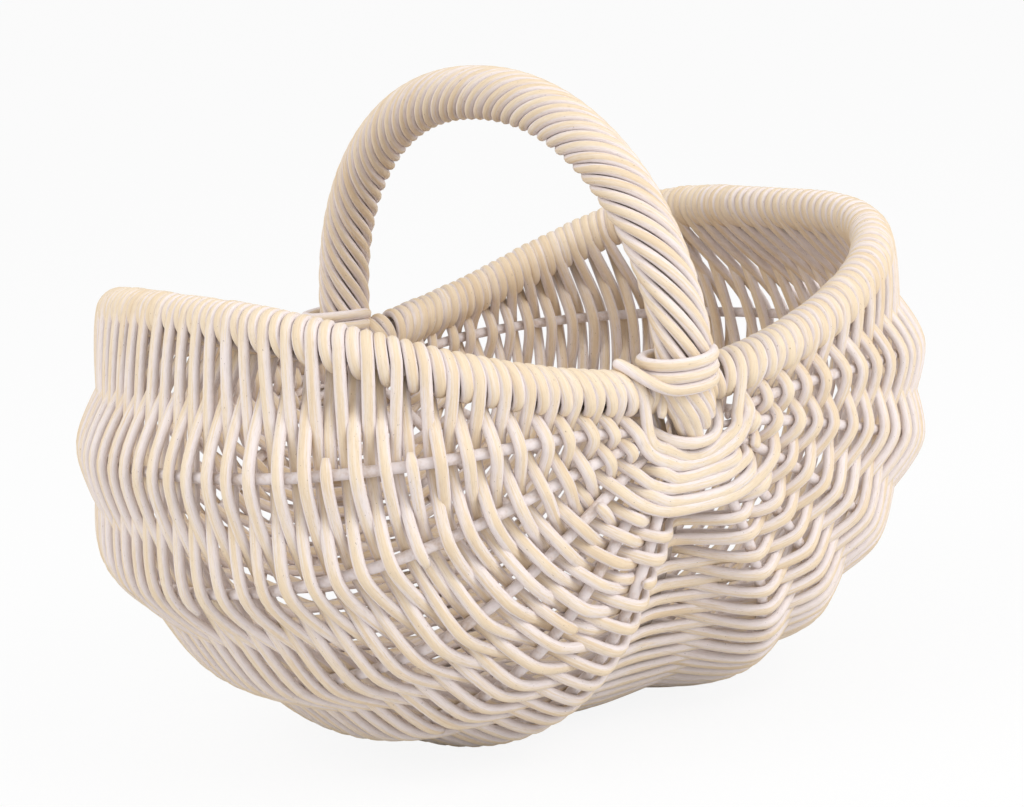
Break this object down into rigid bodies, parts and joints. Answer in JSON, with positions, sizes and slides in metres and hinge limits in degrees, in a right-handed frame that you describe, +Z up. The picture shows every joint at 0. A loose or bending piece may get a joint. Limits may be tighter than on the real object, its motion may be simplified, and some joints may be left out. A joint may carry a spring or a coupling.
{
  "type": "woven trug basket",
  "caption": "Ribbed wicker garden basket, two-lobed and boat shaped, with a raised rim and a fixed twisted rod handle.",
  "frame": {"origin": "on the ground under the middle of the basket", "axes": "+X along the basket, +Y across it from the near ear to the far ear, +Z up"},
  "size_m": [0.4484, 0.3598, 0.3375],
  "materials": {
    "weave": "peeled willow rods, white washed, matte",
    "handle_rods": "peeled willow rods, white washed, matte",
    "lashing": "peeled willow rods, white washed, matte",
    "ribs": "peeled rods, grey white, matte",
    "hoop": "peeled rod, greyed, matte"
  },
  "bodies": {
    "root": {"ear_strand_far_1": "lashing", "ear_strand_far_2": "lashing", "ear_strand_far_3": "lashing", "ear_strand_far_4": "lashing", "ear_strand_far_5": "lashing", "ear_strand_near_1": "lashing", "ear_strand_near_2": "lashing", "ear_strand_near_3": "lashing", "ear_strand_near_4": "lashing", "ear_strand_near_5": "lashing", "ear_tail_far_1": "lashing", "ear_tail_far_2": "lashing", "ear_tail_far_3": "lashing", "ear_tail_far_4": "lashing", "ear_tail_near_1": "lashing", "ear_tail_near_2": "lashing", "ear_tail_near_3": "lashing", "ear_tail_near_4": "lashing", "handle_binding_far": "lashing", "handle_binding_near": "lashing", "handle_hoop": "hoop", "handle_rod_01": "handle_rods", "handle_rod_02": "handle_rods", "handle_rod_03": "handle_rods", "handle_rod_04": "handle_rods", "handle_rod_05": "handle_rods", "handle_rod_06": "handle_rods", "handle_rod_07": "handle_rods", "handle_rod_08": "handle_rods", "handle_rod_09": "handle_rods", "handle_rod_10": "handle_rods", "rib_left_1": "ribs", "rib_left_2": "ribs", "rib_left_3": "ribs", "rib_left_4": "ribs", "rib_left_5": "ribs", "rib_right_1": "ribs", "rib_right_2": "ribs", "rib_right_3": "ribs", "rib_right_4": "ribs", "rib_right_5": "ribs", "rim_hoop": "hoop", "rim_wrap_far_left": "weave", "rim_wrap_far_right": "weave", "rim_wrap_near_left": "weave", "rim_wrap_near_right": "weave", "weave_left_rib_1_to_2": "weave", "weave_left_rib_2_to_3": "weave", "weave_left_rib_3_to_4": "weave", "weave_left_rib_4_to_5": "weave", "weave_left_rib_5_to_keel": "weave", "weave_left_rim_to_rib_1": "weave", "weave_right_rib_1_to_2": "weave", "weave_right_rib_2_to_3": "weave", "weave_right_rib_3_to_4": "weave", "weave_right_rib_4_to_5": "weave", "weave_right_rib_5_to_keel": "weave", "weave_right_rim_to_rib_1": "weave"}
  },
  "joints": []
}
